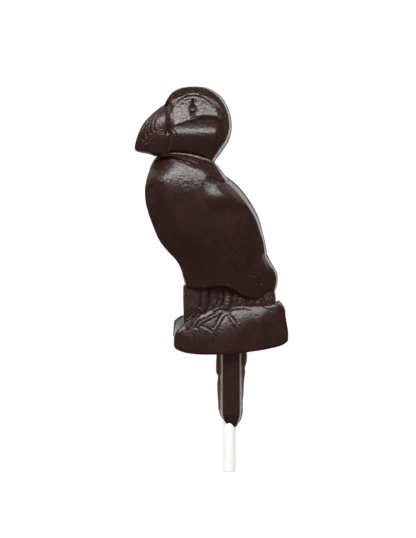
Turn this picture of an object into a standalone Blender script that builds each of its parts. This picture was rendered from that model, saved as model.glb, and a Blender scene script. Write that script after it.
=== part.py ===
"""A dark chocolate lollipop: a sea bird on a rock, cast in a flat-backed mould, on a short paper stick.

The lollipop lies on its flat back. X runs across it, Y from the stick's end towards the bird's head, and
Z up, from the flat back to the relief. Lengths below are in millimetres and are turned into metres when
the meshes are made.
"""

import math

import bmesh
import bpy
import numpy as np
from mathutils import Vector
from mathutils.geometry import delaunay_2d_cdt
from mathutils.kdtree import KDTree

MM = 0.001

# Stick: rolled paper, 11/64 inch thick and 3 inches long
STICK_RADIUS = 2.18
STICK_LENGTH = 76.0
STICK_X = 5.8
STICK_END_Y = -64.1
STICK_AXIS_Z = 3.1
STICK_SIDES = 32
STICK_EDGE_ROUND = 0.15
BORE_GAP = 0.25

# Mesh of the relief
STEP = 1.15
MERGE = 0.02
EDGE_HIGH = 0.05
BLEND = 0.35
SHARP_ANGLE = 40

# Where a wall of the cast is nearly upright, its foot stands this far outside its rim
THIN = 0.12


def smooth_line(points, step=STEP):
    """Evenly spaced points along a smooth open curve through the given ones."""
    p = np.array(points, float)
    if len(p) == 2:
        slope = np.array([p[1] - p[0], p[1] - p[0]])
        chord = np.ones(1)
    else:
        chord = np.sqrt(np.linalg.norm(np.diff(p, axis=0), axis=1))
        pace = np.diff(p, axis=0) / chord[:, None]
        before, after = chord[:-1, None], chord[1:, None]
        inner = (pace[:-1] * after + pace[1:] * before) / (before + after)
        slope = np.vstack([2 * pace[0] - inner[0], inner, 2 * pace[-1] - inner[-1]])
    t = np.linspace(0, 1, 24, endpoint=False)[:, None]
    dense = []
    for k in range(len(p) - 1):
        dense.append(
            (2 * t**3 - 3 * t**2 + 1) * p[k]
            + (t**3 - 2 * t**2 + t) * slope[k] * chord[k]
            + (3 * t**2 - 2 * t**3) * p[k + 1]
            + (t**3 - t**2) * slope[k + 1] * chord[k]
        )
    dense = np.vstack(dense + [p[-1:]])
    run = np.concatenate([[0], np.cumsum(np.linalg.norm(np.diff(dense, axis=0), axis=1))])
    count = max(2, math.ceil(run[-1] / step) + 1)
    at = np.linspace(0, run[-1], count)
    return np.column_stack([np.interp(at, run, dense[:, k]) for k in (0, 1)])


def arc(centre, radius, start, end, step=STEP):
    """Points along a circle's arc, from one angle in degrees to another."""
    count = max(3, math.ceil(abs(math.radians(end - start)) * radius / step) + 1)
    angles = np.radians(np.linspace(start, end, count))
    return np.array(centre) + radius * np.column_stack([np.cos(angles), np.sin(angles)])


def closed(ring):
    """The ring with its first point again at the end."""
    return np.vstack([ring, ring[:1]])


def distance(points, line):
    """How far each point is from a run of points joined by straight lines."""
    best = np.full(len(points), np.inf)
    for a, b in zip(line[:-1], line[1:]):
        along = b - a
        t = np.clip((points - a) @ along / max(along @ along, 1e-12), 0, 1)
        best = np.minimum(best, ((points - a - t[:, None] * along) ** 2).sum(1))
    return np.sqrt(best)


def inside(points, ring):
    """Whether each point is inside a closed outline."""
    odd = np.zeros(len(points), bool)
    x, y = points[:, 0], points[:, 1]
    for (ax, ay), (bx, by) in zip(ring, np.roll(ring, -1, axis=0)):
        if ay != by:
            odd ^= ((ay > y) != (by > y)) & (x < (bx - ax) * (y - ay) / (by - ay) + ax)
    return odd


def grown(ring, out):
    """The outline moved outwards by the given amount at each of its points."""
    along = np.roll(ring, -1, axis=0) - np.roll(ring, 1, axis=0)
    normal = np.column_stack([along[:, 1], -along[:, 0]])
    normal /= np.linalg.norm(normal, axis=1)[:, None]
    return ring + normal * out[:, None]


def soft_table(pairs):
    """A function that runs smoothly through a few (position, value) pairs in rising order."""
    curve = smooth_line(pairs, 0.25)
    return lambda x: np.interp(x, curve[:, 0], curve[:, 1])


def eased(share):
    """The share, kept between nothing and one, with a soft start and end."""
    share = np.clip(share, 0, 1)
    return share**2 * (3 - 2 * share)


def level(value):
    """A crown that is the same everywhere."""
    return lambda p: np.full(len(p), float(value))


class Cushion:
    """One bulging area of the cast.

    Its rim is made of smooth stretches that meet at corners, counter-clockwise. Each stretch is
    (points, wall, width, out): the wall rises from the foot to that height at the rim, and rounds over
    within that width to the crown. A wall below zero ends that far under the crown instead. Out is how far
    the foot stands outside the rim, at even spaces along the stretch.
    """

    def __init__(self, stretches, crown):
        lines = [smooth_line(points) for points, _, _, _ in stretches]
        spreads = [np.interp(np.linspace(0, 1, len(line)), np.linspace(0, 1, len(out)), out)
                   for line, (_, _, _, out) in zip(lines, stretches)]
        self.rim = np.vstack([line[:-1] for line in lines])
        self.foot = grown(self.rim, np.concatenate([spread[:-1] for spread in spreads]))
        self.edges = [(line, wall, width) for line, (_, wall, width, _) in zip(lines, stretches)]
        self.crown = crown

    def height(self, points):
        """Height at each point, and minus one outside the foot."""
        z = np.full(len(points), -1.0)
        low, high = self.foot.min(0), self.foot.max(0)
        near = np.flatnonzero(((points >= low) & (points <= high)).all(1))
        near = near[inside(points[near], self.foot)]
        p = points[near]
        crown = self.crown(p)
        rounded, nearest = crown.copy(), np.full(len(p), np.inf)
        wall_here = crown.copy()
        for line, wall, width in self.edges:
            away = distance(p, line)
            top = np.minimum(wall, crown) if wall > 0 else crown + wall
            u = np.clip(away / width, 0, 1)
            rounded = np.minimum(rounded, top + (crown - top) * u * (2 - u))
            closer = away < nearest
            wall_here = np.where(closer, top, wall_here)
            nearest = np.minimum(nearest, away)
        to_foot = distance(p, closed(self.foot))
        share = to_foot / np.maximum(nearest + to_foot, 1e-9)
        on_top = inside(p, self.rim) | (nearest < 1e-6)
        z[near] = np.where(on_top, rounded, wall_here * share)
        return z


# Head: a leaning flat face under a narrow brow, and a full cheek below the crease under the eye
HEAD_STRETCHES = [
    ([(-0.2, 38.9), (2.3, 42.8), (4.8, 46.6), (5.8, 50.8)], -0.15, 0.5, (0.7, 0.95, 0.95, 0.9)),
    ([(5.8, 50.8), (5.3, 54.8), (3.7, 58.6), (0.9, 61.8), (-2.6, 63.7), (-6.8, 64.1), (-10.4, 63.6),
      (-13.1, 62.2), (-15.0, 59.7), (-15.6, 58.4)], -0.1, 0.35, (0.9, 1.0, 1.1, 0.7, THIN, THIN, THIN)),
    ([(-15.6, 58.4), (-14.1, 56.6), (-13.8, 52.0), (-13.9, 46.0), (-15.7, 42.1)], -0.75, 1.8, (THIN, THIN)),
    ([(-15.7, 42.1), (-12.5, 42.35), (-7.8, 41.95), (-2.8, 40.7), (-0.2, 38.9)], -0.4, 0.9, (THIN, 0.6)),
]
FACE_SLOPE = soft_table([(50.0, 11.4), (52.5, 10.35), (55.5, 9.1), (58.3, 8.1), (61.2, 7.38), (62.0, 7.25),
                         (65.0, 7.1)])
FACE_LEAN, FACE_LEVEL_X = 0.13, -3.0
CHEEK_ROLL = soft_table([(38.0, 8.6), (41.5, 9.2), (44.0, 9.95), (46.0, 10.4), (47.2, 10.52), (48.1, 10.44),
                         (48.7, 10.3), (49.4, 10.02), (50.0, 9.82), (51.2, 9.6), (54.5, 9.4)])
HEAD_RIM = soft_table([(38.0, 8.2), (42.0, 8.5), (47.0, 8.6), (52.0, 8.2), (57.0, 7.8), (62.0, 7.45),
                       (65.0, 7.3)])
HEAD_ROLL_OFF = 2.6
CHEEK_NARROW, CHEEK_ROLL_OFF = 1.0, 3.8
CREASE_LINE = soft_table([(-16.0, 51.3), (-12.0, 51.9), (-7.5, 53.1), (-2.5, 54.2), (0.0, 54.1),
                          (4.5, 53.1), (7.0, 52.6)])
CREASE_WIDTH = 1.3

# Face: the brow's arc above the eye, a mark over the round eye and a short bar under it
FACE_CENTRE, FACE_RADIUS = (-6.2, 53.4), 7.9
EYE, EYE_RADIUS, EYE_HIGH = (-6.4, 56.3), 1.0, 0.4
EYE_RING_RADIUS = 1.35
EYE_MARK = [(-6.4, 59.4), (-6.4, 57.9)]
EYE_BAR = [(-6.9, 54.7), (-5.9, 54.7)]

# Bill: deep and curved, highest along the mouth
BILL_STRETCHES = [
    ([(-13.0, 60.4), (-15.7, 58.3), (-17.6, 57.0), (-20.6, 54.3), (-22.8, 51.7), (-24.2, 49.0),
      (-25.1, 46.4), (-25.6, 44.4), (-25.6, 43.2)], -0.15, 0.5, (THIN, THIN)),
    ([(-25.6, 43.2), (-24.8, 42.75), (-23.4, 42.4), (-21.2, 42.0), (-19.3, 41.3)], -0.3, 0.8, (THIN, THIN)),
    ([(-19.3, 41.3), (-15.5, 41.5), (-12.0, 43.4)], 7.0, 0.8, (THIN, THIN)),
    ([(-12.0, 43.4), (-11.5, 52.0), (-13.0, 60.4)], 7.5, 0.5, (THIN, THIN)),
]
MOUTH_START, MOUTH_SLOPE = (-15.2, 47.8), 0.35
BILL_BACK_HIGH, BILL_TIP_CURVE = 8.9, 0.016
BILL_ABOVE_CURVE, BILL_STEEP_AT = 0.0040, 8.4
BILL_BELOW_SLOPE, BILL_CREST_SOFT = 0.28, 1.4

# Neck: the collar between the head and the chest
NECK_STRETCHES = [
    ([(0.4, 39.1), (-1.7, 40.1), (-4.9, 41.2), (-8.9, 41.95), (-12.9, 42.3), (-15.3, 42.3), (-17.7, 40.3)],
     8.45, 0.6, (THIN, THIN)),
    ([(-17.7, 40.3), (-13.4, 40.4), (-9.2, 38.9), (-6.8, 37.7), (-3.6, 36.4), (-2.1, 35.2), (-0.6, 32.9)],
     7.4, 0.5, (THIN, THIN)),
    ([(-0.6, 32.9), (2.2, 32.3), (4.6, 32.4)], 7.4, 0.5, (THIN, 1.0)),
    ([(4.6, 32.4), (2.3, 36.1), (0.4, 39.1)], -0.3, 0.8, (2.0, 1.1, 1.0, 0.8, 0.3)),
]
NECK_CROWN = soft_table([(32.0, 9.3), (36.0, 9.05), (39.0, 8.85), (42.5, 8.65)])
NECK_FALL_X, NECK_FALL = -12.5, 0.25

# Body: one deep dome for chest, belly and folded wing, with a hem over the legs and a tail beyond it
BODY_STRETCHES = [
    ([(-0.2, 33.3), (-1.7, 35.7), (-3.3, 36.9), (-6.5, 38.1), (-8.9, 39.3), (-13.3, 40.8)],
     -0.4, 1.4, (THIN, THIN)),
    ([(-13.3, 40.8), (-16.2, 41.1), (-18.4, 40.2)], -0.4, 1.5, (THIN, 0.7)),
    ([(-18.4, 40.2), (-20.0, 38.0), (-21.1, 35.3), (-21.8, 32.8), (-22.2, 30.4)],
     -2.4, 7.5, (0.7, THIN, THIN)),
    ([(-22.2, 30.4), (-22.2, 27.7), (-21.9, 25.1), (-21.2, 22.4), (-20.3, 19.7), (-19.3, 17.1),
      (-18.2, 14.4), (-16.6, 11.7), (-14.4, 9.1), (-11.9, 6.4), (-10.3, 3.7), (-9.4, 1.1), (-8.7, -1.2),
      (-8.4, -2.4)], 7.3, 8.0, (THIN, THIN, THIN, THIN, THIN, 0.5)),
    ([(-8.4, -2.4), (-3.8, -2.9), (-0.8, -3.0), (3.1, -2.7), (5.3, -3.0), (7.6, -4.0), (9.1, -5.1),
      (11.4, -5.9), (14.4, -6.1), (17.0, -5.6), (17.8, -4.1), (20.8, -3.3)], 7.4, 0.7, (THIN, THIN)),
    ([(20.8, -3.3), (21.4, -1.2), (21.4, 0.9), (20.8, 2.6), (18.9, 5.1), (17.6, 7.9)],
     6.4, 2.6, (0.6, 0.6, 0.8, 1.15, 1.1)),
    ([(17.6, 7.9), (17.2, 11.8), (16.0, 15.8), (14.7, 19.6), (12.6, 23.3)],
     7.6, 7.0, (0.95, 0.75, 1.0, 1.3, 1.65)),
    ([(12.6, 23.3), (9.9, 27.0), (6.8, 30.4), (4.5, 32.2)], -1.5, 4.5, (1.65, 1.85, 2.0, 2.0)),
    ([(4.5, 32.2), (2.2, 32.9), (-0.2, 33.3)], 8.6, 2.0, (1.0, THIN)),
]
CHEST_Y, CHEST_HIGH, CHEST_CURVE = 26.0, 12.4, 26.0
BELLY = soft_table([(-8.0, 7.6), (-3.0, 8.5), (2.0, 9.5), (7.0, 10.5), (12.0, 11.4), (17.0, 12.0),
                    (22.0, 12.3), (26.0, CHEST_HIGH)])
BODY_MIDDLE = soft_table([(-6.0, 6.0), (5.0, 4.0), (15.0, -2.0), (26.0, -6.0), (36.0, -8.3), (42.0, -9.0)])
BODY_ACROSS = 50.0
CORNER_X, CORNER_BENT, CORNER_FALL = -10.0, 4.5, 0.021
CORNER_Y, CORNER_LONG = 33.0, 6.0
SHOULDER, SHOULDER_RADII, SHOULDER_HIGH = (3.3, 26.8), (7.0, 5.2), 1.05
SHOULDER_VALLEY = [(-1.0, 33.0), (-2.5, 30.8), (-3.0, 28.0), (-2.4, 25.5)]
WING_EDGE = [(-1.2, 14.0), (3.0, 9.4), (6.2, 5.2), (9.0, 1.4)]

# Legs: a sunk panel between the body and the rock, with a leg standing out of it above each foot
LEGS_STRETCHES = [
    ([(-9.3, -2.3), (-9.3, -16.2)], -0.2, 0.5, (0.3, 0.4, 0.25, 0.15, THIN)),
    ([(-9.3, -16.2), (20.9, -12.0)], -0.2, 0.6, (THIN, THIN)),
    ([(20.9, -12.0), (21.1, -6.9), (20.6, -2.9), (20.1, 0.5)], -0.4, 0.6, (0.4, 0.4)),
    ([(20.1, 0.5), (-5.0, 0.5), (-9.3, -2.3)], -0.2, 0.6, (THIN, THIN)),
]
LEGS_HIGH, LEGS_LEVEL_Y, LEGS_SLOPE = 7.0, -10.0, 0.155
LEG_LINES = [[(-2.4, -2.9), (-2.4, -6.5), (-2.7, -10.2)], [(5.3, -2.9), (5.3, -7.0), (5.0, -9.6)]]
LEG_HALF, LEG_RISE = 1.6, 0.4

# Rock: a rounded oval block whose top slopes back to the legs
BASE_TOP_EDGE = [(22.3, -7.5), (20.4, -8.8), (16.8, -9.4), (11.5, -9.4), (7.2, -9.8), (3.2, -10.6),
                 (-1.2, -10.6), (-5.2, -12.2), (-9.0, -14.8)]
BASE_STRETCHES = [
    ([(-9.0, -14.8), (-11.0, -16.5), (-12.2, -18.2), (-12.5, -20.2), (-12.6, -21.6)],
     -0.5, 1.2, (3.0, 2.9, 1.1, 0.3, THIN)),
    ([(-12.6, -21.6), (-12.2, -22.9), (-9.6, -24.2), (-5.2, -24.9), (0.5, -25.0), (6.8, -24.8),
      (12.8, -24.1), (19.0, -23.1), (23.6, -21.8), (25.3, -20.5)], -0.4, 1.1, (THIN, THIN)),
    ([(25.3, -20.5), (25.4, -18.0), (25.0, -15.0), (24.5, -12.2), (24.1, -9.8), (22.3, -7.5)],
     -0.3, 0.8, (THIN, THIN, THIN, 0.2, 0.4, 0.5)),
    (BASE_TOP_EDGE, -0.1, 0.3, (0.5, 0.5, THIN, THIN, 0.5, 3.0)),
]
BASE_BACK_HIGH = 7.0
RAMP_LENGTH = soft_table([(-13.0, 3.0), (-9.0, 5.0), (-5.2, 8.0), (-1.2, 10.4), (3.0, 11.2), (6.0, 10.4),
                          (8.8, 9.3), (12.8, 6.8), (17.0, 5.2), (19.0, 4.8), (21.0, 3.8), (23.0, 2.0),
                          (26.0, 0.3)])
RAMP_SLOPE, RAMP_CURVE = 0.5, 1.9
RAMP_EASE, RAMP_EASE_X, RAMP_EASE_LONG = 0.45, 16.0, 4.0

# Sleeve: the chocolate that fills the mould's channel round the stick, flat on top and blunt at its end
SLEEVE_HIGH, SLEEVE_WALL, SLEEVE_ROUND, SLEEVE_DRAFT = 6.5, 6.0, 0.4, 1.0
SLEEVE_END_Y, SLEEVE_END_SLOPE = -45.2, 0.45
SLEEVE_STRETCHES = [
    ([(3.5, -22.0), (3.5, -44.5)], SLEEVE_WALL, SLEEVE_ROUND, (SLEEVE_DRAFT, SLEEVE_DRAFT)),
    ([(3.5, -44.5), (3.9, -46.4), (4.8, -47.9), (6.6, -48.9), (7.9, -49.1), (8.5, -48.0), (9.0, -46.6),
      (9.4, -44.5)], SLEEVE_WALL, SLEEVE_ROUND, (1.0, 0.5, 0.3, 0.3, 0.5, 0.9, SLEEVE_DRAFT)),
    ([(9.4, -44.5), (9.4, -22.0)], SLEEVE_WALL, SLEEVE_ROUND, (SLEEVE_DRAFT, SLEEVE_DRAFT)),
    ([(9.4, -22.0), (3.5, -22.0)], SLEEVE_WALL, SLEEVE_ROUND, (THIN, THIN)),
]

# Flash: the thin ragged film that ran out of the mould beside the sleeve
FLASH_HIGH, FLASH_EDGE, FLASH_ROUND = 0.7, 0.3, 0.7
FLASH_LEFT = [
    ([(4.5, -23.5), (2.0, -24.0), (1.6, -26.5), (1.5, -29.5), (1.6, -31.3), (2.1, -32.3), (1.9, -35.0),
      (2.0, -38.5), (2.2, -41.5), (2.5, -44.0), (4.5, -45.0)], FLASH_EDGE, FLASH_ROUND, (THIN, THIN)),
    ([(4.5, -45.0), (4.5, -23.5)], FLASH_HIGH, FLASH_ROUND, (THIN, THIN)),
]
FLASH_RIGHT = [
    ([(8.5, -44.0), (10.2, -42.5), (10.3, -40.5), (10.5, -38.9), (10.7, -35.0), (10.8, -33.5),
      (11.1, -31.0), (11.0, -29.7), (11.5, -28.0), (11.7, -26.5), (11.6, -24.5), (11.3, -23.9),
      (8.5, -23.5)], FLASH_EDGE, FLASH_ROUND, (THIN, THIN)),
    ([(8.5, -23.5), (8.5, -44.0)], FLASH_HIGH, FLASH_ROUND, (THIN, THIN)),
]

# Grooves that follow the bill's curve, the mouth, and the seam behind the bill
BILL_GROOVES = [
    [(-18.0, 54.8), (-18.7, 53.1), (-19.0, 51.1), (-19.0, 49.4)],
    [(-19.5, 53.6), (-20.1, 52.1), (-20.3, 50.4), (-20.3, 48.4)],
    [(-20.7, 52.6), (-21.3, 50.8), (-21.5, 48.9), (-21.5, 47.4)],
    [(-21.9, 51.1), (-22.4, 49.4), (-22.7, 47.8), (-22.7, 46.2)],
]
MOUTH = [(-15.2, 47.8), (-16.8, 46.9), (-18.2, 46.2), (-19.7, 45.4), (-21.0, 44.6)]
BILL_SEAM = [(-15.0, 57.6), (-14.7, 55.0), (-14.6, 52.0), (-14.7, 48.6)]

# Toes: each foot's toes fan out from the leg over the rock's top
TOES = [
    [(-3.4, -10.6), (-6.0, -13.6), (-8.4, -16.4)],
    [(3.0, -10.7), (-0.5, -12.7), (-2.9, -13.9), (-4.8, -15.6)],
    [(4.2, -11.4), (3.0, -13.0), (2.1, -14.8), (1.3, -16.5)],
    [(5.1, -11.5), (6.5, -13.3), (7.4, -15.0)],
]
TOE_HALF, TOE_RISE = 0.75, 0.18


def drawn_lines():
    """The raised and sunk lines: (points, half width, rise)."""
    lines = [(smooth_line(groove), 0.45, -0.24) for groove in BILL_GROOVES]
    lines += [(smooth_line(leg), LEG_HALF, LEG_RISE) for leg in LEG_LINES]
    lines += [(smooth_line(toe), TOE_HALF, TOE_RISE) for toe in TOES]
    lines += [
        (smooth_line(MOUTH), 0.5, -0.12),
        (smooth_line(BILL_SEAM), 1.0, -0.5),
        (arc(FACE_CENTRE, FACE_RADIUS, 18, 155), 0.45, 0.16),
        (arc(EYE, EYE_RING_RADIUS, 0, 360, 0.7), 0.4, -0.25),
        (smooth_line(EYE_MARK, 0.6), 0.5, -0.3),
        (smooth_line(EYE_BAR, 0.6), 0.55, -0.3),
        (smooth_line(SHOULDER_VALLEY), 1.3, -0.14),
        (smooth_line(WING_EDGE), 1.3, -0.12),
    ]
    return lines


def head_crown(p):
    """The leaning face above the crease and the cheek's roll below it, which both roll off to the rim."""
    x, y = p[:, 0], p[:, 1]
    cheek = eased((CREASE_LINE(x) - y) / CREASE_WIDTH)
    lean = FACE_LEAN * np.clip(x - FACE_LEVEL_X, None, 0) * (1 - cheek)
    middle = FACE_SLOPE(y) * (1 - cheek) + CHEEK_ROLL(y) * cheek
    up = np.clip(y - FACE_CENTRE[1], 0, FACE_RADIUS)
    half = np.sqrt(FACE_RADIUS**2 - up**2) - CHEEK_NARROW * cheek
    roll_off = HEAD_ROLL_OFF + (CHEEK_ROLL_OFF - HEAD_ROLL_OFF) * cheek
    rim = eased((np.abs(x - FACE_CENTRE[0]) - half) / roll_off)
    return middle * (1 - rim) + HEAD_RIM(y) * rim + lean


def bill_crown(p):
    """The bill is highest along its mouth, and lower towards its tip."""
    along = MOUTH_START[0] - p[:, 0]
    above = p[:, 1] - (MOUTH_START[1] - MOUTH_SLOPE * along)
    below = np.sqrt(np.clip(above, None, 0) ** 2 + BILL_CREST_SOFT**2) - BILL_CREST_SOFT
    curved = np.clip(above, 0, BILL_STEEP_AT)
    straight = np.clip(above - BILL_STEEP_AT, 0, None)
    fall = BILL_ABOVE_CURVE * (curved**3 + 3 * curved**2 * straight) + BILL_BELOW_SLOPE * below
    return BILL_BACK_HIGH - BILL_TIP_CURVE * np.clip(along, 0, None) ** 2 - fall


def neck_crown(p):
    """The collar is level across, and falls where it passes under the bill."""
    return NECK_CROWN(p[:, 1]) - NECK_FALL * np.clip(NECK_FALL_X - p[:, 0], 0, None)


def body_crown(p):
    """The chest rounds over to the collar, the belly falls to the hem, and the shoulder swells."""
    x, y = p[:, 0], p[:, 1]
    rise = np.clip(y - CHEST_Y, 0, 0.95 * CHEST_CURVE)
    z = np.where(rise > 0, CHEST_HIGH - CHEST_CURVE + np.sqrt(CHEST_CURVE**2 - rise**2), BELLY(y))
    z -= (x - BODY_MIDDLE(y)) ** 2 / (2 * BODY_ACROSS)
    left = np.clip(CORNER_X - x, 0, None)
    bent = np.minimum(left, CORNER_BENT)
    z -= CORNER_FALL * bent * (2 * left - bent) * eased((y - CORNER_Y) / CORNER_LONG)
    away = np.linalg.norm((p - SHOULDER) / SHOULDER_RADII, axis=1)
    return z + SHOULDER_HIGH * np.clip(1 - away**2, 0, 1) ** 2


def legs_crown(p):
    """The panel behind the legs sinks a little towards the hem."""
    return LEGS_HIGH - LEGS_SLOPE * np.clip(p[:, 1] - LEGS_LEVEL_Y, 0, None)


def base_crown(p):
    """The rock's top ramps up away from the legs and is level in front, highest in the middle."""
    length = RAMP_LENGTH(p[:, 0])
    slope = RAMP_SLOPE * (1 - RAMP_EASE * eased((p[:, 0] - RAMP_EASE_X) / RAMP_EASE_LONG))
    left = 1 - np.clip(distance(p, smooth_line(BASE_TOP_EDGE)) / length, 0, 1)
    return BASE_BACK_HIGH + slope / RAMP_CURVE * length * (1 - left**RAMP_CURVE)


def sleeve_crown(p):
    """The sleeve is level up to its blunt end, which slopes down."""
    return SLEEVE_HIGH - SLEEVE_END_SLOPE * np.clip(SLEEVE_END_Y - p[:, 1], 0, None)


CUSHIONS = [
    Cushion(HEAD_STRETCHES, head_crown),
    Cushion(BILL_STRETCHES, bill_crown),
    Cushion(NECK_STRETCHES, neck_crown),
    Cushion(BODY_STRETCHES, body_crown),
    Cushion(LEGS_STRETCHES, legs_crown),
    Cushion(BASE_STRETCHES, base_crown),
    Cushion(SLEEVE_STRETCHES, sleeve_crown),
    Cushion(FLASH_LEFT, level(FLASH_HIGH)),
    Cushion(FLASH_RIGHT, level(FLASH_HIGH)),
]
LINES = drawn_lines()


def relief_height(points):
    """The height at each point: the highest cushion there, blended at creases, and the drawn lines."""
    z = np.full(len(points), -1.0)
    for cushion in CUSHIONS:
        other = cushion.height(points)
        both = (z > 0) & (other > 0)
        mix = np.where(both, np.clip(BLEND - np.abs(z - other), 0, None) / BLEND, 0)
        z = np.maximum(z, other) + mix**2 * BLEND / 4
    for line, half, rise in LINES:
        near = distance(points, line) / half
        z += np.where(z > 2, rise * np.clip(1 - near**2, 0, 1) ** 2, 0)
    eye = np.linalg.norm(points - EYE, axis=1) / EYE_RADIUS
    return z + EYE_HIGH * np.sqrt(np.clip(1 - eye**2, 0, 1))


def scattered_grid(step, lines):
    """A triangular grid over the cast, thinned out next to the given lines."""
    low = np.min([c.foot.min(0) for c in CUSHIONS], axis=0)
    high = np.max([c.foot.max(0) for c in CUSHIONS], axis=0)
    rows = np.arange(low[1], high[1], step * math.sqrt(3) / 2)
    columns = np.arange(low[0], high[0], step)
    grid = np.array([(x + step / 2 * (k % 2), y) for k, y in enumerate(rows) for x in columns])
    grid = grid[np.any([inside(grid, c.foot) for c in CUSHIONS], axis=0)]
    drawn = np.vstack(lines)
    tree = KDTree(len(drawn))
    for k, (x, y) in enumerate(drawn):
        tree.insert((x, y, 0), k)
    tree.balance()
    return np.array([g for g in grid if tree.find((g[0], g[1], 0))[2] > 0.6 * step])


def relief_mesh(step):
    """The relief's vertices and triangles: the rims, feet and drawn lines are edges of the mesh."""
    rings = [c.rim for c in CUSHIONS] + [c.foot for c in CUSHIONS]
    lines = [closed(ring) for ring in rings] + [line for line, _, _ in LINES]
    points, edges = [], []
    for line in lines:
        first = len(points)
        points += [Vector(p) for p in line]
        edges += [(k, k + 1) for k in range(first, first + len(line) - 1)]
    points += [Vector(p) for p in scattered_grid(step, lines)]
    flat, _, faces, _, _, _ = delaunay_2d_cdt(points, edges, [], 0, MERGE)
    flat = np.array([tuple(v) for v in flat])
    faces = np.array([f for f in faces if len(f) == 3])
    middle = flat[faces].mean(1)
    faces = faces[np.any([inside(middle, c.foot) for c in CUSHIONS], axis=0)]
    return flat, faces


def cast_object(name, step, material):
    """The closed cast: the relief, with its edge on the flat back."""
    flat, faces = relief_mesh(step)
    z = np.maximum(relief_height(flat), EDGE_HIGH)
    bm = bmesh.new()
    vertices = [bm.verts.new((x * MM, y * MM, h * MM)) for (x, y), h in zip(flat, z)]
    for a, b, c in faces:
        bm.faces.new((vertices[a], vertices[b], vertices[c]))
    bmesh.ops.delete(bm, geom=[v for v in bm.verts if not v.link_faces], context="VERTS")
    bm.normal_update()
    if sum(f.normal.z for f in bm.faces) < 0:
        bmesh.ops.reverse_faces(bm, faces=bm.faces[:])
    edge = [e for e in bm.edges if len(e.link_faces) == 1]
    for v in {v for e in edge for v in e.verts}:
        v.co.z = 0.0
    back = bmesh.ops.contextual_create(bm, geom=edge)["faces"]
    bmesh.ops.triangulate(bm, faces=back)
    bmesh.ops.recalc_face_normals(bm, faces=bm.faces[:])
    return to_object(bm, name, material)


def to_object(bm, name, material):
    """An object in the scene from a bmesh, shaded smooth with its sharp edges kept."""
    mesh = bpy.data.meshes.new(name)
    bm.to_mesh(mesh)
    bm.free()
    mesh.materials.append(material)
    mesh.shade_smooth()
    mesh.set_sharp_from_angle(angle=math.radians(SHARP_ANGLE))
    obj = bpy.data.objects.new(name, mesh)
    bpy.context.scene.collection.objects.link(obj)
    return obj


def rod(name, radius, start_y, end_y, material):
    """A round rod along Y at the stick's place."""
    bm = bmesh.new()
    bmesh.ops.create_cone(bm, cap_ends=True, segments=STICK_SIDES, radius1=radius * MM,
                          radius2=radius * MM, depth=(end_y - start_y) * MM)
    obj = to_object(bm, name, material)
    obj.rotation_euler = (math.radians(-90), 0, 0)
    obj.location = Vector((STICK_X, (start_y + end_y) / 2, STICK_AXIS_Z)) * MM
    return obj


def material(name, colour, roughness):
    """A plain Principled material."""
    made = bpy.data.materials.new(name)
    made.use_nodes = True
    shader = made.node_tree.nodes["Principled BSDF"]
    shader.inputs["Base Color"].default_value = (*colour, 1)
    shader.inputs["Roughness"].default_value = roughness
    shader.inputs["Metallic"].default_value = 0.0
    return made


def centre_on_box(objects):
    """Moves the whole model so that its box is centred over the origin."""
    bpy.context.view_layer.update()
    corners = [o.matrix_world @ Vector(c) for o in objects for c in o.bound_box]
    for axis in (0, 1):
        middle = (min(c[axis] for c in corners) + max(c[axis] for c in corners)) / 2
        for o in bpy.context.scene.objects:
            o.location[axis] -= middle


def main():
    """Builds the cast and its stick."""
    for old in list(bpy.data.objects):
        bpy.data.objects.remove(old)
    chocolate = material("dark_chocolate", (0.03, 0.0145, 0.0115), 0.3)
    paper = material("white_paper", (0.9, 0.89, 0.86), 0.6)

    bird = cast_object("chocolate_bird", STEP, chocolate)
    stick_top = STICK_END_Y + STICK_LENGTH
    stick = rod("paper_stick", STICK_RADIUS, STICK_END_Y, stick_top, paper)
    rounding = stick.modifiers.new("rounded ends", "BEVEL")
    rounding.width = STICK_EDGE_ROUND * MM
    rounding.segments = 2
    rounding.limit_method = "ANGLE"

    bore = rod("bore", STICK_RADIUS + BORE_GAP, STICK_END_Y, stick_top + BORE_GAP, chocolate)
    bore.hide_render = True
    bore.display_type = "WIRE"
    cut = bird.modifiers.new("bore", "BOOLEAN")
    cut.operation = "DIFFERENCE"
    cut.solver = "EXACT"
    cut.object = bore
    centre_on_box([bird, stick])


main()
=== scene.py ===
"""The looks of a dark chocolate lollipop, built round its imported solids.

The cast gets its full relief here: the same cushions as its solid on a finer mesh, with the drawn lines of
bill, face, legs and toes, air bubbles, and the grain of set chocolate. Lengths are in millimetres, in the
same drawing as the solid: X across, Y towards the head, Z up from the flat back.
"""

import math

import bmesh
import bpy
import numpy as np
from mathutils import Matrix, Vector, noise
from mathutils.geometry import delaunay_2d_cdt
from mathutils.kdtree import KDTree


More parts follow.
